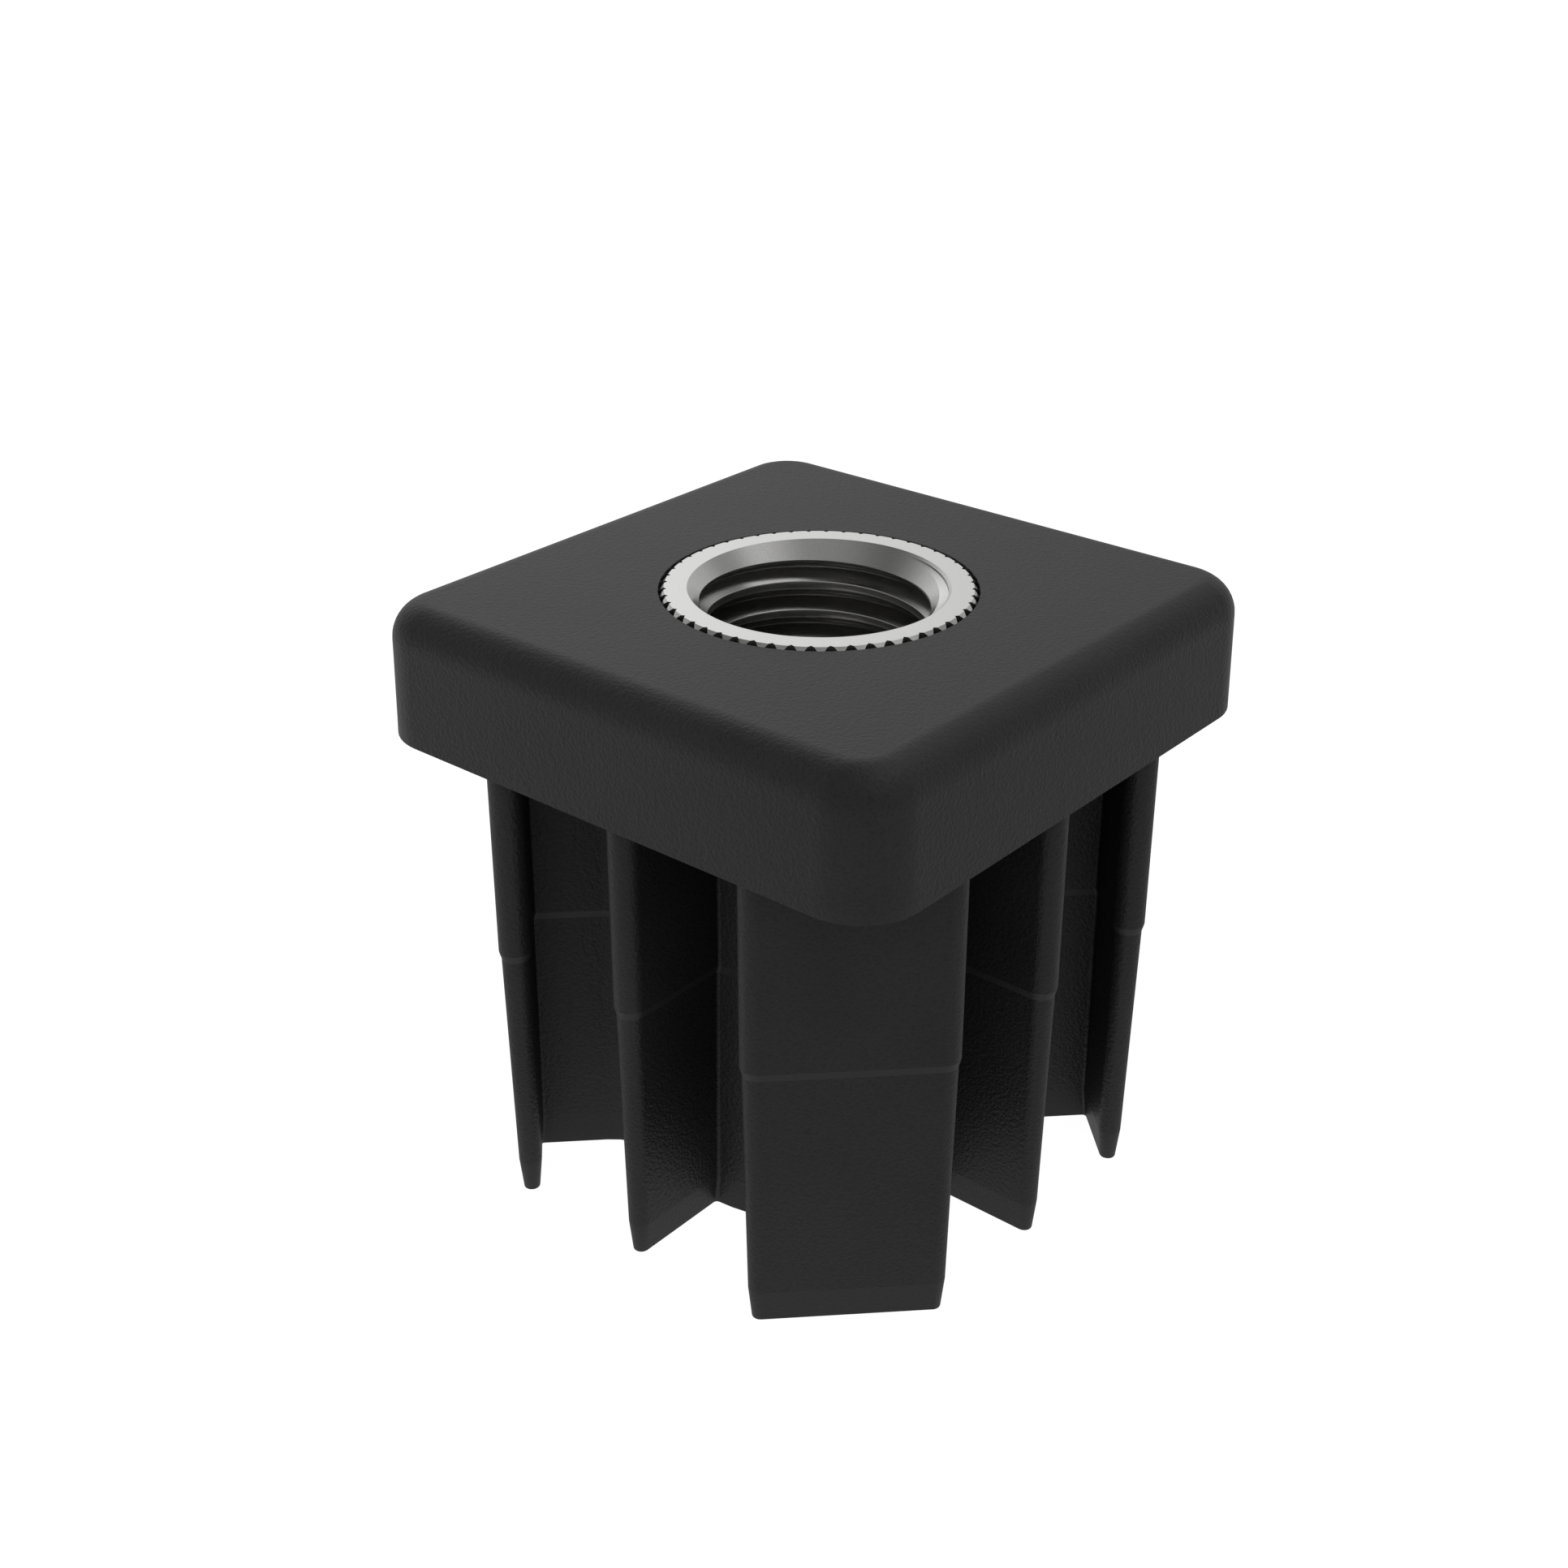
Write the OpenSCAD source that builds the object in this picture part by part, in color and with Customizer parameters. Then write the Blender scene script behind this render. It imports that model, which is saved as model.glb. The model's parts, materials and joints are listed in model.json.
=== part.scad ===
// Threaded insert for the end of a square steel tube.
// A moulded plug closes the tube and carries a knurled steel bush with an M16 thread, for a levelling foot or a bolt.
// The origin is on the thread's axis, in the seat where the cap meets the tube's end. +Z points out of the tube.

/* [Tube] */
// Outside width of the square tube, which the cap covers
tube_width = 40; // [36:0.5:60]
// Wall thickness of the tube, which sets how far the ribs and plates reach
tube_wall = 1; // [0.8:0.05:2.5]

/* [Cap] */
// Height of the cap above the tube's end
cap_height = 8.75; // [6:0.25:16]
// Plan radius of the cap's corners at the seat
cap_corner_radius = 4.1; // [3:0.1:7]
// Radius of the rounding along the cap's top edge
cap_edge_radius = 2.36; // [0.5:0.02:2.8]
// Draft of the cap's sides, in degrees
cap_draft = 1.3; // [0:0.1:3]

/* [Legs] */
// Length of the hub, ribs and webs below the seat
leg_length = 31.85; // [26:0.05:50]
// Length of the upright upper part of the legs, which grips the tube
grip_length = 13.15; // [6:0.05:18]
// Height of the small sloping step below the grip
step_height = 0.55; // [0.3:0.05:2]
// How far every leg face steps inwards there
step_inset = 0.15; // [0.05:0.01:0.3]
// Thickness of the ribs, webs and corner plates in the grip
wall_thickness = 2.16; // [1.8:0.02:2.6]
// Width of the flat plate at each corner, in the grip
plate_width = 13.16; // [9:0.02:15]
// Draft of the rib ends below the step, in degrees
rib_draft = 1.1; // [0:0.05:1.5]
// Draft of the plates' edges below the step, in degrees
plate_draft = 1; // [0:0.05:1.5]
// Draft of each side of a wall below the step, in degrees
wall_draft = 0.6; // [0:0.05:0.8]
// Length of the lead-in at the lower ends of the ribs and plates
lead_length = 2.25; // [1:0.05:3]
// Angle of the lead-in, in degrees
lead_angle = 5.8; // [2:0.2:7]

/* [Hub] */
// Outer radius of the hub round the bush
hub_radius = 11.09; // [10.7:0.01:13]
// Radius of the clearance hole below the bush, which lets a long bolt pass
clearance_radius = 8.5; // [8.2:0.1:9.2]
// Plan radius of the blend between the hub and the webs
web_blend = 4.4; // [1:0.1:5]
// Plan radius in the inner corners of the ribs and plates
inner_radius = 0.25; // [0.1:0.05:0.5]

/* [Bush] */
// Length of the bush
bush_length = 24; // [16:0.5:30]
// How far the bush stands proud of the cap
bush_proud = 0.1; // [0:0.05:0.5]
// Outer radius of the bush over its knurl
bush_radius = 9.95; // [9.6:0.05:10]
// Chamfer round each end of the bush
bush_chamfer = 0.3; // [0.1:0.05:0.5]
// Number of teeth in the straight knurl
knurl_teeth = 52; // [36:4:72]
// Depth of the knurl's grooves
knurl_depth = 0.48; // [0.2:0.02:0.6]
// Width of a knurl groove at its mouth
knurl_groove = 0.96; // [0.4:0.02:1.1]
// Radius of the thread's core hole, for M16
thread_core_radius = 7; // [6.8:0.02:7.2]
// Mouth radius of the countersink at each end of the thread
countersink_radius = 8.22; // [7.5:0.02:8.6]
// Full angle of the countersinks, in degrees
countersink_angle = 88; // [60:2:120]
// Radial clearance between the knurl and the plastic that holds it
bush_clearance = 0.05; // [0:0.01:0.1]

/* [Hidden] */

$fn = 96;
// Amount by which a cut runs past the faces that it opens
cut = 1;
// Segments in a quarter of a wall's round edge, round the hub, in a web's blend and in an inner corner
end_steps = 6;
hub_steps = 4;
blend_steps = 6;
corner_steps = 3;
// Places in an eighth of the leg section: the last point of a rib, the first and last of a web, the last of all
rib_last = end_steps + corner_steps + 1;
web_first = rib_last + hub_steps;
web_last = web_first + blend_steps + corner_steps + 1;
eighth_last = web_last + 2 * end_steps + 1;
quarter_count = 2 * eighth_last + 1;
ring_count = 4 * quarter_count;

cap_side_lean = tan(cap_draft);
corner_axis = tube_width / 2 - cap_corner_radius;
// The edge rounding can be no larger than the corner that it runs round
edge_limit = 0.9 * (cap_corner_radius - cap_height * cap_side_lean);
edge_radius = min(cap_edge_radius, edge_limit);
// The rounding touches the drafted side here, measured in from the side at the seat
edge_centre_z = cap_height - edge_radius;
edge_centre_in = edge_radius / cos(cap_draft) + edge_centre_z * cap_side_lean;

bush_top = cap_height + bush_proud;
bush_bottom = bush_top - bush_length;
countersink_depth = (countersink_radius - thread_core_radius) / tan(countersink_angle / 2);

// Heights of the leg sections, from inside the cap down to the tips
step_top = -grip_length;
step_bottom = step_top - step_height;
lead_top = lead_length - leg_length;
draft_length = step_bottom - lead_top;
// How far the rib ends, the plates' edges and the walls' faces have come in where the lead-in starts
rib_in = step_inset + draft_length * tan(rib_draft);
plate_in = step_inset + draft_length * tan(plate_draft);
wall_in = step_inset + draft_length * tan(wall_draft);
// The lead-in brings the ribs and plates in further, while the webs only keep their draft
lead_in = lead_length * tan(lead_angle);
web_in = wall_in + lead_length * tan(wall_draft);

// Points of an arc round a centre, in degrees
function arc(centre, radius, from, to, steps) = [
    for (i = [0 : steps]) let (a = from + (to - from) * i / steps)
        centre + radius * [cos(a), sin(a)]
];

// Points turned about the origin
function turned(points, a) = [
    for (p = points) [p.x * cos(a) - p.y * sin(a), p.x * sin(a) + p.y * cos(a)]
];

// The same points mirrored across the 45 degree line, in reverse order and without the first
function mirrored(points) = [
    for (i = [len(points) - 1 : -1 : 1]) [points[i].y, points[i].x]
];

// An eighth of the leg section: from the middle of a rib's end, round the hub, to a corner plate.
// reach is half the width over the ribs, rib and web are half thicknesses, plate is half the plate's width.
function eighth(reach, rib, web, plate) =
    let (
        // The plate's outer face lies where its round ends reach as far as the ribs do
        outer_face = sqrt(2) * (reach - rib) + 2 * rib - plate,
        inner_face = outer_face - 2 * rib,
        root = hub_radius + inner_radius,
        root_side = rib + inner_radius,
        root_along = sqrt(root * root - root_side * root_side),
        root_angle = atan2(root_side, root_along),
        blend = hub_radius + web_blend,
        blend_side = web + web_blend,
        blend_along = sqrt(blend * blend - blend_side * blend_side),
        blend_angle = atan2(blend_side, blend_along),
        hub_step = (45 - blend_angle - root_angle) / hub_steps
    )
    concat(
        arc([reach - rib, 0], rib, 0, 90, end_steps),
        arc([root_along, root_side], inner_radius, 270, 180 + root_angle, corner_steps),
        arc([0, 0], hub_radius, root_angle + hub_step, 45 - blend_angle - hub_step, hub_steps - 2),
        turned(concat(
            arc([blend_along, -blend_side], web_blend, 180 - blend_angle, 90, blend_steps),
            arc([inner_face - inner_radius, -web - inner_radius], inner_radius, 90, 0, corner_steps),
            arc([outer_face - rib, rib - plate], rib, 180, 360, 2 * end_steps)
        ), 45)
    );

// The whole leg section at one height: its shape in the grip with the rib ends, the plates' edges,
// the walls' faces and the webs' faces brought in by the given amounts
function leg_section(ends, edges, wall, web) =
    let (
        reach = tube_width / 2 - tube_wall - ends,
        half = wall_thickness / 2,
        part = eighth(reach, half - wall, half - web, plate_width / 2 - edges),
        quarter = concat(part, mirrored(part))
    )
    [for (turn = [0 : 90 : 270]) each turned(quarter, turn)];

// Two triangles for each step along a wall, between its points and their mirror images
function strip(first, last, mirror_sum) = [
    for (k = [first : last - 1]) let (image = mirror_sum - k)
        each [[k, k + 1, image - 1], [k, image - 1, image]]
];

// Triangles that close the section at one end: strips along the ribs, webs and plates, and a fan over the hub
function end_faces(first, centre) =
    let (
        inner = web_last,
        inner_image = quarter_count - web_last,
        walls = concat(
            [[0, 1, -1]],
            strip(1, rib_last, 0),
            strip(web_first, web_last, quarter_count),
            [
                [inner, inner + 1, inner + 2],
                [inner, inner + 2, inner_image - 2],
                [inner, inner_image - 2, inner_image],
                [inner_image, inner_image - 2, inner_image - 1]
            ],
            strip(web_last + 2, eighth_last, quarter_count)
        ),
        rim = [
            for (k = [rib_last : web_first]) k,
            for (k = [web_first : -1 : rib_last]) quarter_count - k,
            quarter_count + rib_last
        ]
    )
    [
        for (turn = [0 : 3]) let (start = turn * quarter_count + ring_count)
            each concat(
                [for (face = walls) [for (k = face) first + (start + k) % ring_count]],
                [
                    for (i = [1 : len(rim) - 1])
                        [centre, first + (start + rim[i - 1]) % ring_count, first + (start + rim[i]) % ring_count]
                ]
            )
    ];

// A solid through leg sections, each given with its height, from the top down
module leg_loft(heights, sections) {
    last = len(sections) - 1;
    rings = [for (s = [0 : last]) each [for (p = sections[s]) [p.x, p.y, heights[s]]]];
    top_centre = len(rings);
    bottom_centre = top_centre + 1;
    points = concat(rings, [[0, 0, heights[0]], [0, 0, heights[last]]]);
    top = [for (face = end_faces(0, top_centre)) [face[2], face[1], face[0]]];
    bottom = end_faces(last * ring_count, bottom_centre);
    sides = [
        for (s = [0 : last - 1], i = [0 : ring_count - 1])
            let (a = s * ring_count + i, b = s * ring_count + (i + 1) % ring_count)
                each [[a, b, a + ring_count], [b, b + ring_count, a + ring_count]]
    ];
    polyhedron(points, concat(top, bottom, sides));
}

// Hub, ribs, webs and corner plates, moulded together and drawn as one stepped and drafted section
module legs() {
    leg_loft(
        [cut, step_top, step_bottom, lead_top, -leg_length],
        [
            leg_section(0, 0, 0, 0),
            leg_section(0, 0, 0, 0),
            leg_section(step_inset, step_inset, step_inset, step_inset),
            leg_section(rib_in, plate_in, wall_in, wall_in),
            leg_section(rib_in + lead_in, plate_in + lead_in, wall_in + lead_in, web_in)
        ]
    );
}

// Half of the cap's upright section, from an axis out to the side: drafted, with its rounded top edge
module cap_half_section(reach) {
    edge_centre = [reach - edge_centre_in, edge_centre_z];
    side_touch = edge_centre + edge_radius * [cos(cap_draft), sin(cap_draft)];
    polygon([[0, 0], [reach, 0], side_touch, edge_centre, [edge_centre.x, cap_height], [0, cap_height]]);
    translate(edge_centre)
        intersection() {
            circle(edge_radius);
            square(edge_radius);
        }
}

// The cap: its section run along all four sides and revolved a quarter turn at each corner
module cap() {
    for (turn = [0 : 90 : 270])
        rotate(turn) {
            rotate([90, 0, 0])
                linear_extrude(2 * corner_axis, center = true) cap_half_section(tube_width / 2);
            translate([corner_axis, corner_axis])
                rotate_extrude(angle = 90) cap_half_section(cap_corner_radius);
        }
}

// The moulding: cap and legs in one, bored for the bush
module body() {
    color([0.12, 0.12, 0.125])
    difference() {
        union() {
            cap();
            legs();
        }
        translate([0, 0, bush_bottom])
            cylinder(h = cap_height + cut - bush_bottom, r = bush_radius + bush_clearance);
        translate([0, 0, -leg_length - cut])
            cylinder(h = leg_length + cap_height, r = clearance_radius);
    }
}

// Outline of the bush: narrow flat-topped teeth between V grooves
module knurl_outline() {
    tooth = 360 / knurl_teeth;
    // A groove never takes up the whole of its tooth's share
    groove = min(2 * asin(knurl_groove / 2 / bush_radius), 0.85 * tooth);
    root = bush_radius - knurl_depth;
    polygon([
        for (i = [0 : knurl_teeth - 1]) let (a = (i + 1 / 4) * tooth)
            each [
                root * [cos(a), sin(a)],
                bush_radius * [cos(a + groove / 2), sin(a + groove / 2)],
                bush_radius * [cos(a + tooth - groove / 2), sin(a + tooth - groove / 2)]
            ]
    ]);
}

// Widening cone at one end of the thread, open upwards from its mouth at z = 0
module countersink() {
    translate([0, 0, -countersink_depth])
        cylinder(h = countersink_depth, r1 = thread_core_radius, r2 = countersink_radius);
    cylinder(h = cut, r = countersink_radius);
}

// Turned bar with chamfered ends, standing on z = 0 and wider than the knurl between its chamfers
module chamfered_bar() {
    end = bush_radius - bush_chamfer;
    rotate_extrude()
        polygon([
            [0, 0], [end, 0], [end + cut, cut],
            [end + cut, bush_length - cut], [end, bush_length], [0, bush_length]
        ]);
}

// The steel bush, with the thread's core as a plain hole
module bush() {
    color([0.72, 0.72, 0.71])
    difference() {
        translate([0, 0, bush_bottom])
            intersection() {
                translate([0, 0, -cut]) linear_extrude(bush_length + 2 * cut) knurl_outline();
                chamfered_bar();
            }
        translate([0, 0, bush_bottom - cut])
            cylinder(h = bush_length + 2 * cut, r = thread_core_radius);
        translate([0, 0, bush_top]) countersink();
        translate([0, 0, bush_bottom]) mirror([0, 0, 1]) countersink();
    }
}

body();
bush();
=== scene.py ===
import json
from math import atan2, cos, pi, radians, sin, tan

import bpy
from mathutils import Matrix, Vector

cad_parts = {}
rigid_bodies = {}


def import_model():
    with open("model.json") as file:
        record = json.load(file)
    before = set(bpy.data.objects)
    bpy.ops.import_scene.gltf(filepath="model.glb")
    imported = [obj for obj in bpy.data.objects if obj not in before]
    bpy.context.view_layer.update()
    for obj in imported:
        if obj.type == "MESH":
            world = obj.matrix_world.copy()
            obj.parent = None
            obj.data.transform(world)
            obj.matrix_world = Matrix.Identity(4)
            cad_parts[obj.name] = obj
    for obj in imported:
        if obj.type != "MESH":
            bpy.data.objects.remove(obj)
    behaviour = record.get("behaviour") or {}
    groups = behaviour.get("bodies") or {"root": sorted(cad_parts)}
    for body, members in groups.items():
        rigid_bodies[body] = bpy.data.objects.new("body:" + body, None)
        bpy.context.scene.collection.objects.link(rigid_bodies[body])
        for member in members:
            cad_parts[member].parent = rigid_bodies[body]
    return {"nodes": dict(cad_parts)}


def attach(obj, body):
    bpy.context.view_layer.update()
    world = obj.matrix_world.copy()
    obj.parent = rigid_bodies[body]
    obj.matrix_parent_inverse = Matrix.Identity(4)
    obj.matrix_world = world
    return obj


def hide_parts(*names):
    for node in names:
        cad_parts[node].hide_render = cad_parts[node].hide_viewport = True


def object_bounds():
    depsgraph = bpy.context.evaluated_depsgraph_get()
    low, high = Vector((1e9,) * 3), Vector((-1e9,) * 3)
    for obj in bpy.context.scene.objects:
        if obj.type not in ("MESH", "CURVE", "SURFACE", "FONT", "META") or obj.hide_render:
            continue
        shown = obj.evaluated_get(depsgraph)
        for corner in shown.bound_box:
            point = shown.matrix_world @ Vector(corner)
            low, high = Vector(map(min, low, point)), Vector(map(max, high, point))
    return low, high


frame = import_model()
part_low, part_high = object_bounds()

# The camera, as the photograph was taken: a 50 mm lens a little above the cap,
# looking down on one of the insert's corners. The whole square frame is used.
MM = 0.001
bpy.ops.object.select_all(action="DESELECT")
bpy.ops.object.camera_add(
    location=(79.429 * MM, -98.047 * MM, 59.278 * MM),
    rotation=(radians(63), 0, radians(40)),
)
camera = bpy.context.object
camera.name = "photo_camera"
camera.data.lens = 50
camera.data.sensor_width = 36
camera.data.clip_start = 0.005
camera.data.clip_end = 20
bpy.context.scene.camera = camera


# The moulding: cap, hub, ribs, webs and corner plates in one piece of black plastic.
# It leaves a steel mould whose walls are spark-eroded, which gives it a fine leathery grain.
# The solid's own faces are joined up and its sharp edges get the small radius of a real mould.
EDGE_RADIUS = 0.08 * MM
# heights where the legs' faces break: both ends of the step's slope, and where the lead-in starts
STEP_TOP = -13.15 * MM
STEP_BOTTOM = -13.7 * MM
LEAD_TOP = -29.6 * MM

bpy.ops.object.select_all(action="DESELECT")
solid_body = frame["nodes"]["body"]
solid_body.select_set(True)
bpy.context.view_layer.objects.active = solid_body
bpy.ops.object.duplicate()
moulding = bpy.context.object
moulding.name = "moulding"
bpy.ops.object.parent_clear(type="CLEAR_KEEP_TRANSFORM")
bpy.ops.object.mode_set(mode="EDIT")
bpy.ops.mesh.select_all(action="SELECT")
bpy.ops.mesh.remove_doubles(threshold=0.0005 * MM)
bpy.ops.mesh.dissolve_limited(angle_limit=radians(0.3))
bpy.ops.object.mode_set(mode="OBJECT")
for edge in moulding.data.edges:
    heights = [moulding.data.vertices[v].co.z for v in edge.vertices]
    for level in (STEP_TOP, STEP_BOTTOM, LEAD_TOP):
        if max(abs(h - level) for h in heights) < 0.002 * MM:
            edge.use_edge_sharp = True
edge_round = moulding.modifiers.new("edge_round", "BEVEL")
edge_round.width = EDGE_RADIUS
edge_round.segments = 2
edge_round.limit_method = "ANGLE"
edge_round.angle_limit = radians(35)
bpy.ops.object.modifier_apply(modifier="edge_round")
bpy.ops.object.shade_smooth_by_angle(angle=radians(24))
flat_shading = moulding.modifiers.new("flat_shading", "WEIGHTED_NORMAL")
flat_shading.keep_sharp = True
flat_shading.weight = 90
bpy.ops.object.modifier_apply(modifier="flat_shading")

black_plastic = bpy.data.materials.new("black_plastic")
black_plastic.use_nodes = True
nodes, links = black_plastic.node_tree.nodes, black_plastic.node_tree.links
skin = nodes["Principled BSDF"]
skin.inputs["IOR"].default_value = 1.5
place = nodes.new("ShaderNodeTexCoord")

# cells of the leathery grain, under a quarter of a millimetre across, and a finer one over them
wobble = nodes.new("ShaderNodeTexNoise")
wobble.inputs["Scale"].default_value = 2600
wobble.inputs["Detail"].default_value = 2
bend = nodes.new("ShaderNodeMixRGB")
bend.blend_type = "LINEAR_LIGHT"
bend.inputs["Fac"].default_value = 0.00022
links.new(place.outputs["Object"], wobble.inputs["Vector"])
links.new(place.outputs["Object"], bend.inputs["Color1"])
links.new(wobble.outputs["Color"], bend.inputs["Color2"])
cells = nodes.new("ShaderNodeTexVoronoi")
cells.feature = "SMOOTH_F1"
cells.inputs["Scale"].default_value = 4300
cells.inputs["Smoothness"].default_value = 0.5
links.new(bend.outputs["Color"], cells.inputs["Vector"])
fine = nodes.new("ShaderNodeTexNoise")
fine.inputs["Scale"].default_value = 9000
fine.inputs["Detail"].default_value = 2
links.new(place.outputs["Object"], fine.inputs["Vector"])
grain = nodes.new("ShaderNodeMath")
grain.operation = "MULTIPLY_ADD"
grain.inputs[1].default_value = 0.3
links.new(fine.outputs["Fac"], grain.inputs[0])
links.new(cells.outputs["Distance"], grain.inputs[2])

# the mould's walls are eroded deeper than its flat end, which forms the cap's top
facing = nodes.new("ShaderNodeSeparateXYZ")
links.new(place.outputs["Normal"], facing.inputs["Vector"])
relief = nodes.new("ShaderNodeMapRange")
relief.inputs["From Min"].default_value = 0.7
relief.inputs["From Max"].default_value = 1
relief.inputs["To Min"].default_value = 0.7
relief.inputs["To Max"].default_value = 0.45
links.new(facing.outputs["Z"], relief.inputs["Value"])

# the step's slope, and half as much the lead-in, is smoother than the walls and painted paler, a
# painted highlight for the light that the slopes catch
split = nodes.new("ShaderNodeSeparateXYZ")
links.new(place.outputs["Object"], split.inputs["Vector"])
on_step = nodes.new("ShaderNodeMath")
on_step.operation = "COMPARE"
on_step.inputs[1].default_value = (STEP_TOP + STEP_BOTTOM) / 2
on_step.inputs[2].default_value = (STEP_TOP - STEP_BOTTOM) / 2
links.new(split.outputs["Z"], on_step.inputs[0])
on_lead = nodes.new("ShaderNodeMath")
on_lead.operation = "LESS_THAN"
on_lead.inputs[1].default_value = LEAD_TOP
links.new(split.outputs["Z"], on_lead.inputs[0])
on_slope = nodes.new("ShaderNodeMath")
on_slope.operation = "MULTIPLY_ADD"
on_slope.inputs[1].default_value = 0.5
links.new(on_lead.outputs["Value"], on_slope.inputs[0])
links.new(on_step.outputs["Value"], on_slope.inputs[2])
kept_grain = nodes.new("ShaderNodeMath")
kept_grain.operation = "MULTIPLY_ADD"
kept_grain.inputs[1].default_value = -0.55
links.new(on_slope.outputs["Value"], kept_grain.inputs[0])
links.new(relief.outputs["Result"], kept_grain.inputs[2])
bump = nodes.new("ShaderNodeBump")
bump.inputs["Distance"].default_value = 0.05 * MM
links.new(kept_grain.outputs["Value"], bump.inputs["Strength"])
links.new(grain.outputs["Value"], bump.inputs["Height"])
links.new(bump.outputs["Normal"], skin.inputs["Normal"])

# colour and sheen drift a little over the piece, as the melt flowed and cooled,
# and the pits of the grain are painted darker and its ridges paler: painted shade and light of the
# grain's relief
flow = nodes.new("ShaderNodeTexNoise")
flow.inputs["Scale"].default_value = 120
flow.inputs["Detail"].default_value = 3
links.new(place.outputs["Object"], flow.inputs["Vector"])
tone = nodes.new("ShaderNodeValToRGB")
tone.color_ramp.elements[0].position = 0.3
tone.color_ramp.elements[0].color = (0.0115, 0.0115, 0.012, 1)
tone.color_ramp.elements[1].position = 0.7
tone.color_ramp.elements[1].color = (0.015, 0.015, 0.0153, 1)
links.new(flow.outputs["Fac"], tone.inputs["Fac"])
# painted shade in the grain's pits and painted light on its ridges
grain_painted_shade = nodes.new("ShaderNodeMapRange")
grain_painted_shade.inputs["From Min"].default_value = 0.05
grain_painted_shade.inputs["From Max"].default_value = 0.5
grain_painted_shade.inputs["To Min"].default_value = 0.78
grain_painted_shade.inputs["To Max"].default_value = 1.16
links.new(cells.outputs["Distance"], grain_painted_shade.inputs["Value"])
shaded = nodes.new("ShaderNodeMixRGB")
shaded.blend_type = "MULTIPLY"
shaded.inputs["Fac"].default_value = 1
links.new(tone.outputs["Color"], shaded.inputs["Color1"])
links.new(grain_painted_shade.outputs["Result"], shaded.inputs["Color2"])
# painted light: the slopes are mixed towards a paler colour
slope_painted_light = nodes.new("ShaderNodeMixRGB")
slope_painted_light.inputs["Color2"].default_value = (0.019, 0.019, 0.0195, 1)
links.new(on_slope.outputs["Value"], slope_painted_light.inputs["Fac"])
links.new(shaded.outputs["Color"], slope_painted_light.inputs["Color1"])
links.new(slope_painted_light.outputs["Color"], skin.inputs["Base Color"])
sheen = nodes.new("ShaderNodeMapRange")
sheen.inputs["To Min"].default_value = 0.44
sheen.inputs["To Max"].default_value = 0.5
links.new(flow.outputs["Fac"], sheen.inputs["Value"])
links.new(sheen.outputs["Result"], skin.inputs["Roughness"])
moulding.data.materials.clear()
moulding.data.materials.append(black_plastic)

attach(moulding, "root")
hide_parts("body")


# The bush: turned from steel bar, knurled along its length so that the plastic holds it,
# chamfered and countersunk at both ends and tapped M16 right through, then plated.
BUSH_RADIUS = 9.95 * MM
BUSH_TOP = 8.85 * MM
BUSH_LENGTH = 24 * MM
BUSH_CHAMFER = 0.3 * MM
TEETH = 52
STEPS_IN_TOOTH = 5
GROOVE_DEPTH = 0.48 * MM
GROOVE_SIDE_SHARE = 0.52
KNURL_TURN = radians(1.74)
MOUTH_RADIUS = 8.22 * MM
CONE_TIP_RADIUS = 6 * MM
CONE_ANGLE = radians(44)
# how far the bar and the cutters reach beyond the finished faces
SPARE = 0.5 * MM

# bar, with every fifth edge pressed in and its neighbours half as deep
bpy.ops.object.select_all(action="DESELECT")
bpy.ops.mesh.primitive_cylinder_add(
    vertices=TEETH * STEPS_IN_TOOTH,
    radius=BUSH_RADIUS,
    depth=BUSH_LENGTH + 2 * SPARE,
    location=(0, 0, BUSH_TOP - BUSH_LENGTH / 2),
)
bush = bpy.context.object
bush.name = "threaded_bush"
bush.rotation_euler.z = KNURL_TURN
bpy.ops.object.transform_apply(location=True, rotation=True, scale=True)
step_angle = 2 * pi / (TEETH * STEPS_IN_TOOTH)
for near_steps, depth in (((0,), 1.0), ((1, STEPS_IN_TOOTH - 1), GROOVE_SIDE_SHARE)):
    bpy.ops.object.mode_set(mode="EDIT")
    bpy.ops.mesh.select_mode(type="VERT")
    bpy.ops.mesh.select_all(action="DESELECT")
    bpy.ops.object.mode_set(mode="OBJECT")
    for vertex in bush.data.vertices:
        turn = atan2(vertex.co.y, vertex.co.x) - KNURL_TURN
        vertex.select = round(turn / step_angle) % STEPS_IN_TOOTH in near_steps
    bpy.ops.object.mode_set(mode="EDIT")
    inward = 1 - depth * GROOVE_DEPTH / BUSH_RADIUS
    bpy.ops.transform.resize(value=(inward, inward, 1), center_override=(0, 0, 0))
    bpy.ops.object.mode_set(mode="OBJECT")

# what the knurled bar is trimmed to: a wider bar whose two rims are chamfered as deep as the spare
bpy.ops.object.select_all(action="DESELECT")
bpy.ops.mesh.primitive_cylinder_add(
    vertices=240,
    radius=BUSH_RADIUS - BUSH_CHAMFER + SPARE,
    depth=BUSH_LENGTH,
    location=(0, 0, BUSH_TOP - BUSH_LENGTH / 2),
)
bpy.ops.object.transform_apply(location=True, rotation=True, scale=True)
trimmer = bpy.context.object
trimmer.name = "end_trimmer"
bpy.ops.object.mode_set(mode="EDIT")
bpy.ops.mesh.select_mode(type="EDGE")
bpy.ops.mesh.select_all(action="DESELECT")
bpy.ops.object.mode_set(mode="OBJECT")
for edge in trimmer.data.edges:
    low, high = sorted(trimmer.data.vertices[v].co.z for v in edge.vertices)
    edge.select = high - low < 0.01 * MM
bpy.ops.object.mode_set(mode="EDIT")
bpy.ops.mesh.bevel(offset_type="OFFSET", offset=SPARE, segments=1, affect="EDGES")
bpy.ops.mesh.select_mode(type="VERT")
bpy.ops.object.mode_set(mode="OBJECT")

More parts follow.
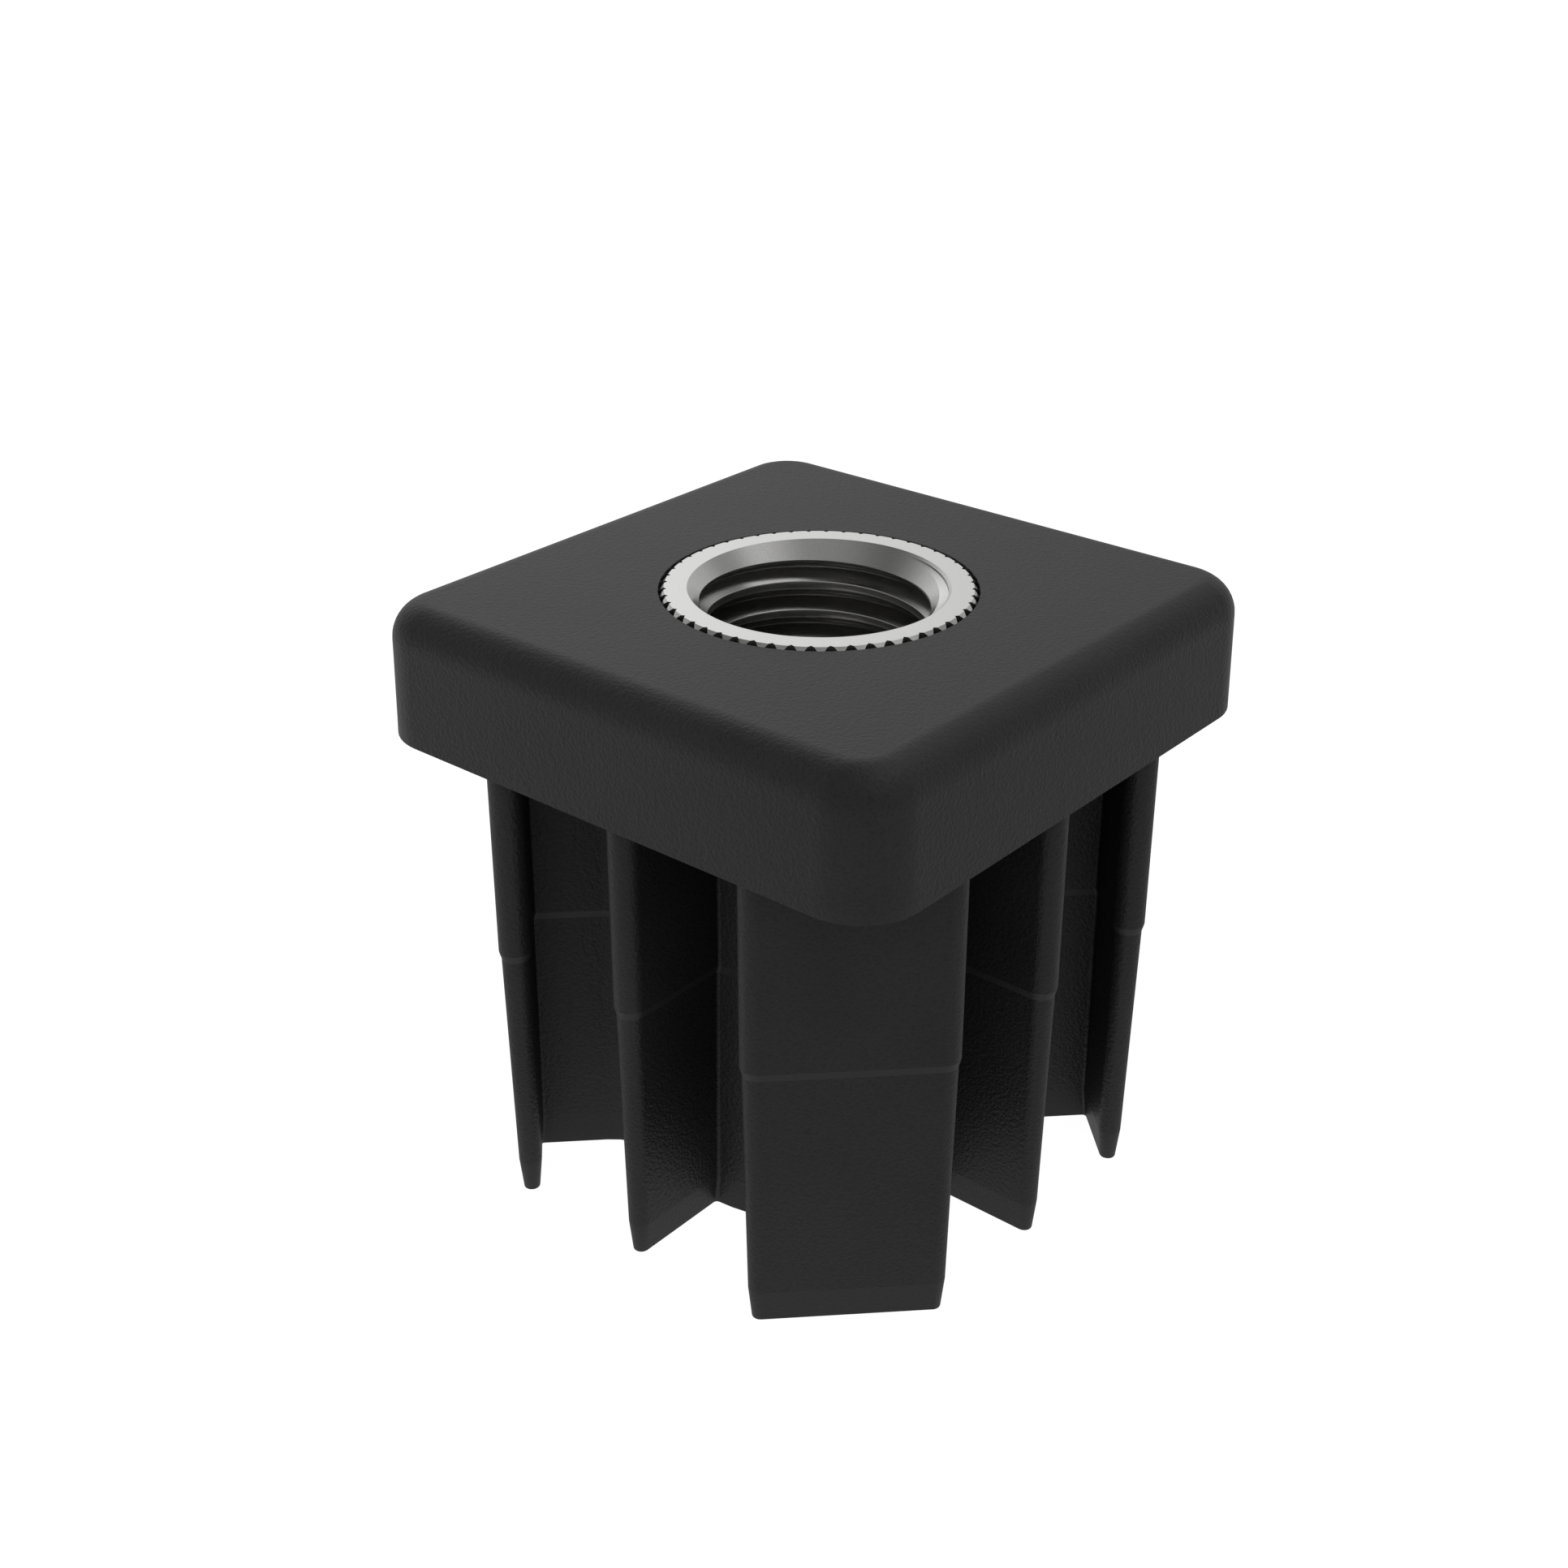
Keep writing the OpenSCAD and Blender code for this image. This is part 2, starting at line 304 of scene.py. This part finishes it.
# countersink cutters, one for each end
cone_depth = (MOUTH_RADIUS - CONE_TIP_RADIUS) / tan(CONE_ANGLE)
wide = MOUTH_RADIUS + SPARE * tan(CONE_ANGLE)
cutters = []
for middle, low_radius, high_radius in (
    (BUSH_TOP + (SPARE - cone_depth) / 2, CONE_TIP_RADIUS, wide),
    (BUSH_TOP - BUSH_LENGTH - (SPARE - cone_depth) / 2, wide, CONE_TIP_RADIUS),
):
    bpy.ops.object.select_all(action="DESELECT")
    bpy.ops.mesh.primitive_cone_add(
        vertices=192,
        radius1=low_radius,
        radius2=high_radius,
        depth=cone_depth + SPARE,
        location=(0, 0, middle),
    )
    bpy.ops.object.transform_apply(location=True, rotation=True, scale=True)
    bpy.context.object.name = "countersink_cutter"
    cutters.append(bpy.context.object)

# tap: one pitch of the thread's outline, drawn point by point and wound up along the axis
PITCH = 2 * MM
CORE_RADIUS = 7.01 * MM
ROOT_RADIUS = 8.07 * MM
CREST_Z = 5.836 * MM
START_ANGLE = radians(130)
TURNS = 15
TURNS_BELOW_CREST = 13
STEPS_IN_TURN = 96
TAP_TOP = 9.6 * MM
TAP_BOTTOM = -16.5 * MM
# radius and rise of each point: past the core, out along one flank, along the root and back
outline = (
    (CORE_RADIUS, 0.242 * MM),
    (CORE_RADIUS, 0.427 * MM),
    (CORE_RADIUS + 0.006 * MM, 0.461 * MM),
    (CORE_RADIUS + 0.023 * MM, 0.491 * MM),
    (CORE_RADIUS + 0.05 * MM, 0.513 * MM),
    (ROOT_RADIUS - 0.06 * MM, 1.061 * MM),
    (ROOT_RADIUS - 0.012 * MM, 1.1 * MM),
    (ROOT_RADIUS, 1.15 * MM),
    (ROOT_RADIUS, 1.334 * MM),
    (ROOT_RADIUS - 0.012 * MM, 1.384 * MM),
    (ROOT_RADIUS - 0.06 * MM, 1.423 * MM),
    (CORE_RADIUS + 0.045 * MM, 1.974 * MM),
    (CORE_RADIUS + 0.012 * MM, 2.002 * MM),
    (CORE_RADIUS, 2.034 * MM),
    (CORE_RADIUS, 2.242 * MM),
)
bpy.ops.object.select_all(action="DESELECT")
bpy.ops.mesh.primitive_plane_add(size=MM)
tap = bpy.context.object
tap.name = "tap_cutter"
bpy.ops.object.mode_set(mode="EDIT")
bpy.ops.mesh.select_all(action="SELECT")
bpy.ops.mesh.merge(type="CENTER")
across, height = 0, 0
for radius, rise in outline:
    step_out, step_up = radius - across, rise - height
    if height == 0:
        step_up = CREST_Z - TURNS_BELOW_CREST * PITCH + rise
        bpy.ops.transform.translate(
            value=(step_out * cos(START_ANGLE), step_out * sin(START_ANGLE), step_up)
        )
    else:
        bpy.ops.mesh.extrude_region_move(
            TRANSFORM_OT_translate={
                "value": (step_out * cos(START_ANGLE), step_out * sin(START_ANGLE), step_up)
            }
        )
    across, height = radius, rise
bpy.ops.object.mode_set(mode="OBJECT")
winding = tap.modifiers.new("winding", "SCREW")
winding.axis = "Z"
winding.angle = 2 * pi
winding.screw_offset = PITCH
winding.iterations = TURNS
winding.steps = STEPS_IN_TURN
winding.render_steps = STEPS_IN_TURN
bpy.ops.object.modifier_apply(modifier="winding")
bpy.ops.object.mode_set(mode="EDIT")
bpy.ops.mesh.select_all(action="SELECT")
bpy.ops.mesh.remove_doubles(threshold=0.001 * MM)
for height, side in ((TAP_TOP, 1), (TAP_BOTTOM, -1)):
    bpy.ops.mesh.select_all(action="SELECT")
    bpy.ops.mesh.bisect(
        plane_co=(0, 0, height),
        plane_no=(0, 0, side),
        use_fill=True,
        clear_outer=True,
        threshold=0.0001 * MM,
    )
bpy.ops.mesh.select_all(action="SELECT")
bpy.ops.mesh.normals_make_consistent(inside=False)
bpy.ops.object.mode_set(mode="OBJECT")
cutters += [tap, trimmer]

# cones and tap are taken out of the bar, which is then trimmed, and all the cutters are thrown away
for cutter in cutters:
    bpy.ops.object.select_all(action="DESELECT")
    bpy.context.view_layer.objects.active = bush
    bush.select_set(True)
    cut = bush.modifiers.new("cut", "BOOLEAN")
    cut.operation = "INTERSECT" if cutter == trimmer else "DIFFERENCE"
    cut.solver = "EXACT"
    cut.object = cutter
    bpy.ops.object.modifier_apply(modifier="cut")
    bpy.data.objects.remove(cutter, do_unlink=True)
bpy.ops.object.mode_set(mode="EDIT")
bpy.ops.mesh.select_all(action="SELECT")
bpy.ops.mesh.remove_doubles(threshold=0.0005 * MM)
bpy.ops.object.mode_set(mode="OBJECT")
bpy.ops.object.shade_smooth_by_angle(angle=radians(28))

# the cones meet the thread in a crisp edge, though at a small angle
times_used = {}
for face in bush.data.polygons:
    if abs(abs(face.normal.z) - sin(CONE_ANGLE)) < 0.02:
        for key in face.edge_keys:
            times_used[key] = times_used.get(key, 0) + 1
for edge in bush.data.edges:
    if times_used.get(tuple(sorted(edge.vertices)), 0) == 1:
        edge.use_edge_sharp = True

plated_steel = bpy.data.materials.new("plated_steel")
plated_steel.use_nodes = True
nodes, links = plated_steel.node_tree.nodes, plated_steel.node_tree.links
metal = nodes["Principled BSDF"]
metal.inputs["Metallic"].default_value = 1
place = nodes.new("ShaderNodeTexCoord")

# fine speckle of the plating, with faint rings left by the turning tool
speckle = nodes.new("ShaderNodeTexNoise")
speckle.inputs["Scale"].default_value = 14000
speckle.inputs["Detail"].default_value = 2
links.new(place.outputs["Object"], speckle.inputs["Vector"])
rings = nodes.new("ShaderNodeTexWave")
rings.wave_type = "RINGS"
rings.rings_direction = "Z"
rings.inputs["Scale"].default_value = 3000
rings.inputs["Distortion"].default_value = 1.5
links.new(place.outputs["Object"], rings.inputs["Vector"])
surface = nodes.new("ShaderNodeMath")
surface.operation = "MULTIPLY_ADD"
surface.inputs[1].default_value = 0.12
links.new(rings.outputs["Fac"], surface.inputs[0])
links.new(speckle.outputs["Fac"], surface.inputs[2])
bump = nodes.new("ShaderNodeBump")
bump.inputs["Strength"].default_value = 0.2
bump.inputs["Distance"].default_value = 0.02 * MM
links.new(surface.outputs["Value"], bump.inputs["Height"])
links.new(bump.outputs["Normal"], metal.inputs["Normal"])
tone = nodes.new("ShaderNodeValToRGB")
tone.color_ramp.elements[0].position = 0.35
tone.color_ramp.elements[0].color = (0.8, 0.797, 0.782, 1)
tone.color_ramp.elements[1].position = 0.7
tone.color_ramp.elements[1].color = (0.9, 0.897, 0.88, 1)
links.new(speckle.outputs["Fac"], tone.inputs["Fac"])

# painted shade: the grooves of the thread, below the countersink, are coloured darker for the shade
# deep in the bore, and are given a lower roughness
GROOVE_MIDDLE = 7.585 * MM
GROOVE_REACH = 0.54 * MM
split = nodes.new("ShaderNodeSeparateXYZ")
flat_place = nodes.new("ShaderNodeCombineXYZ")
links.new(place.outputs["Object"], split.inputs["Vector"])
links.new(split.outputs["X"], flat_place.inputs["X"])
links.new(split.outputs["Y"], flat_place.inputs["Y"])
from_axis = nodes.new("ShaderNodeVectorMath")
from_axis.operation = "LENGTH"
links.new(flat_place.outputs["Vector"], from_axis.inputs[0])
in_groove = nodes.new("ShaderNodeMath")
in_groove.operation = "COMPARE"
in_groove.inputs[1].default_value = GROOVE_MIDDLE
in_groove.inputs[2].default_value = GROOVE_REACH
links.new(from_axis.outputs["Value"], in_groove.inputs[0])
down_bore = nodes.new("ShaderNodeMapRange")
down_bore.interpolation_type = "SMOOTHSTEP"
down_bore.inputs["From Min"].default_value = 7.5 * MM
down_bore.inputs["From Max"].default_value = 7.2 * MM
links.new(split.outputs["Z"], down_bore.inputs["Value"])
in_thread = nodes.new("ShaderNodeMath")
in_thread.operation = "MULTIPLY"
links.new(in_groove.outputs["Value"], in_thread.inputs[0])
links.new(down_bore.outputs["Result"], in_thread.inputs[1])
# painted shade: the grooves are mixed towards a darker colour
thread_painted_shade = nodes.new("ShaderNodeMixRGB")
thread_painted_shade.inputs["Color2"].default_value = (0.55, 0.547, 0.535, 1)
links.new(in_thread.outputs["Value"], thread_painted_shade.inputs["Fac"])
links.new(tone.outputs["Color"], thread_painted_shade.inputs["Color1"])
links.new(thread_painted_shade.outputs["Color"], metal.inputs["Base Color"])
polish = nodes.new("ShaderNodeMapRange")
polish.inputs["To Min"].default_value = 0.24
polish.inputs["To Max"].default_value = 0.15
links.new(in_thread.outputs["Value"], polish.inputs["Value"])
links.new(polish.outputs["Result"], metal.inputs["Roughness"])
bush.data.materials.clear()
bush.data.materials.append(plated_steel)

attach(bush, "root")
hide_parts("bush")


# The studio floor: a pale sheet on which the insert stands on its legs.
# The camera sees it white with a faint shadow, and it sends some light up under the insert.
bpy.ops.object.select_all(action="DESELECT")
bpy.ops.mesh.primitive_plane_add(size=4, location=(0, 0, part_low.z - 0.01 * MM))
floor = bpy.context.object
floor.name = "studio_floor"
white_sheet = bpy.data.materials.new("white_sheet")
white_sheet.use_nodes = True
nodes, links = white_sheet.node_tree.nodes, white_sheet.node_tree.links
nodes.remove(nodes["Principled BSDF"])
paper = nodes.new("ShaderNodeBsdfDiffuse")
paper.inputs["Color"].default_value = (0.85, 0.85, 0.85, 1)
glow = nodes.new("ShaderNodeEmission")
glow.inputs["Color"].default_value = (1, 1, 1, 1)
rays = nodes.new("ShaderNodeLightPath")
place = nodes.new("ShaderNodeTexCoord")

# glossy surfaces see the sheet's glow with painted light and shade: a painted fall of light towards
# the camera, painted light by the legs and a painted shadow below the hub
FADE_SIDE = radians(150)
backwards = nodes.new("ShaderNodeVectorMath")
backwards.operation = "DOT_PRODUCT"
backwards.inputs[1].default_value = (cos(FADE_SIDE), sin(FADE_SIDE), 0)
links.new(place.outputs["Object"], backwards.inputs[0])
painted_falloff = nodes.new("ShaderNodeMapRange")
painted_falloff.inputs["From Min"].default_value = -50 * MM
painted_falloff.inputs["From Max"].default_value = 60 * MM
painted_falloff.inputs["To Min"].default_value = 0.27
painted_falloff.inputs["To Max"].default_value = 0.6
links.new(backwards.outputs["Value"], painted_falloff.inputs["Value"])
from_axis = nodes.new("ShaderNodeVectorMath")
from_axis.operation = "LENGTH"
links.new(place.outputs["Object"], from_axis.inputs[0])
painted_shadow_under_hub = nodes.new("ShaderNodeMapRange")
painted_shadow_under_hub.interpolation_type = "SMOOTHSTEP"
painted_shadow_under_hub.inputs["From Min"].default_value = 8.5 * MM
painted_shadow_under_hub.inputs["From Max"].default_value = 10.5 * MM
painted_shadow_under_hub.inputs["To Min"].default_value = 0.35
links.new(from_axis.outputs["Value"], painted_shadow_under_hub.inputs["Value"])
painted_light_by_legs = nodes.new("ShaderNodeMapRange")
painted_light_by_legs.interpolation_type = "SMOOTHSTEP"
painted_light_by_legs.inputs["From Min"].default_value = 36 * MM
painted_light_by_legs.inputs["From Max"].default_value = 24 * MM
painted_light_by_legs.inputs["To Min"].default_value = 1
painted_light_by_legs.inputs["To Max"].default_value = 1.2
links.new(from_axis.outputs["Value"], painted_light_by_legs.inputs["Value"])
near_level = nodes.new("ShaderNodeMath")
near_level.operation = "MULTIPLY"
links.new(painted_shadow_under_hub.outputs["Result"], near_level.inputs[0])
links.new(painted_light_by_legs.outputs["Result"], near_level.inputs[1])
glossy_level = nodes.new("ShaderNodeMath")
glossy_level.operation = "MULTIPLY"
links.new(painted_falloff.outputs["Result"], glossy_level.inputs[0])
links.new(near_level.outputs["Value"], glossy_level.inputs[1])

# everything else gets one plain level, and the kind of ray decides how much of the sheet glows
# and how much of it is lit paper that takes the shadow
sheet_light = nodes.new("ShaderNodeMix")
sheet_light.data_type = "FLOAT"
sheet_light.inputs["A"].default_value = 1.12
links.new(rays.outputs["Is Glossy Ray"], sheet_light.inputs["Factor"])
links.new(glossy_level.outputs["Value"], sheet_light.inputs["B"])
links.new(sheet_light.outputs["Result"], glow.inputs["Strength"])
upward_share = nodes.new("ShaderNodeMath")
upward_share.operation = "MULTIPLY_ADD"
upward_share.inputs[1].default_value = 0.45
links.new(rays.outputs["Is Diffuse Ray"], upward_share.inputs[0])
links.new(rays.outputs["Is Glossy Ray"], upward_share.inputs[2])
seen_share = nodes.new("ShaderNodeMath")
seen_share.operation = "MULTIPLY_ADD"
seen_share.inputs[1].default_value = 0.88
links.new(rays.outputs["Is Camera Ray"], seen_share.inputs[0])
links.new(upward_share.outputs["Value"], seen_share.inputs[2])
blend = nodes.new("ShaderNodeMixShader")
links.new(seen_share.outputs["Value"], blend.inputs["Fac"])
links.new(paper.outputs["BSDF"], blend.inputs[1])
links.new(glow.outputs["Emission"], blend.inputs[2])
links.new(blend.outputs["Shader"], nodes["Material Output"].inputs["Surface"])
floor.data.materials.append(white_sheet)


# The studio round it: an even pale light. Glossy surfaces see a lit screen behind the insert,
# the dim room and ceiling round it, three soft lamps on the right and a black flag above the left.
studio = bpy.data.worlds.new("white_studio")
bpy.context.scene.world = studio
studio.use_nodes = True
nodes, links = studio.node_tree.nodes, studio.node_tree.links
air = nodes["Background"]
direction = nodes.new("ShaderNodeTexCoord")

# how directly a direction points at the screen, from -1 to 1, as a place on the ramp
SCREEN_HEIGHT = radians(24)
SCREEN_SIDE = radians(143)
towards_screen = nodes.new("ShaderNodeVectorMath")
towards_screen.operation = "DOT_PRODUCT"
towards_screen.inputs[1].default_value = (
    cos(SCREEN_HEIGHT) * cos(SCREEN_SIDE),
    cos(SCREEN_HEIGHT) * sin(SCREEN_SIDE),
    sin(SCREEN_HEIGHT),
)
links.new(direction.outputs["Generated"], towards_screen.inputs[0])
turn = nodes.new("ShaderNodeMapRange")
turn.inputs["From Min"].default_value = -1
turn.inputs["From Max"].default_value = 1
links.new(towards_screen.outputs["Value"], turn.inputs["Value"])
room = nodes.new("ShaderNodeValToRGB")
room.color_ramp.elements[0].position = 0
room.color_ramp.elements[0].color = (0.11, 0.11, 0.11, 1)
room.color_ramp.elements[1].position = 1
room.color_ramp.elements[1].color = (0.92, 0.92, 0.92, 1)
for spot, light in ((0.35, 0.2), (0.75, 0.22), (0.87, 0.31), (0.93, 0.44), (0.975, 0.64)):
    room.color_ramp.elements.new(spot).color = (light, light, light, 1)
links.new(turn.outputs["Result"], room.inputs["Fac"])

# each lamp, and the flag, is a round patch with a soft edge: its height and side in degrees,
# the cosines of the angles from its middle where its edge starts and ends, and the light
# that it adds or takes away
picture = room.outputs["Color"]
for height, side, core, edge, light in (
    (46, 12, 0.985, 0.88, 0.15),
    (66, 62, 0.985, 0.935, 0.6),
    (10, 88, 0.97, 0.85, 0.14),
    (64, 178, 0.96, 0.8, -0.22),
):
    towards_lamp = nodes.new("ShaderNodeVectorMath")
    towards_lamp.operation = "DOT_PRODUCT"
    towards_lamp.inputs[1].default_value = (
        cos(radians(height)) * cos(radians(side)),
        cos(radians(height)) * sin(radians(side)),
        sin(radians(height)),
    )
    links.new(direction.outputs["Generated"], towards_lamp.inputs[0])
    lamp = nodes.new("ShaderNodeMapRange")
    lamp.interpolation_type = "SMOOTHSTEP"
    lamp.inputs["From Min"].default_value = edge
    lamp.inputs["From Max"].default_value = core
    lamp.inputs["To Max"].default_value = light
    links.new(towards_lamp.outputs["Value"], lamp.inputs["Value"])
    with_lamp = nodes.new("ShaderNodeMixRGB")
    with_lamp.blend_type = "ADD"
    with_lamp.inputs["Fac"].default_value = 1
    links.new(picture, with_lamp.inputs["Color1"])
    links.new(lamp.outputs["Result"], with_lamp.inputs["Color2"])
    picture = with_lamp.outputs["Color"]

rays = nodes.new("ShaderNodeLightPath")
lit = nodes.new("ShaderNodeMixRGB")
lit.inputs["Color1"].default_value = (0.9, 0.9, 0.9, 1)
links.new(rays.outputs["Is Glossy Ray"], lit.inputs["Fac"])
links.new(picture, lit.inputs["Color2"])
seen = nodes.new("ShaderNodeMixRGB")
seen.inputs["Color2"].default_value = (1, 1, 1, 1)
links.new(rays.outputs["Is Camera Ray"], seen.inputs["Fac"])
links.new(lit.outputs["Color"], seen.inputs["Color1"])
links.new(seen.outputs["Color"], air.inputs["Color"])
air.inputs["Strength"].default_value = 1

bpy.context.scene.view_settings.view_transform = "Standard"
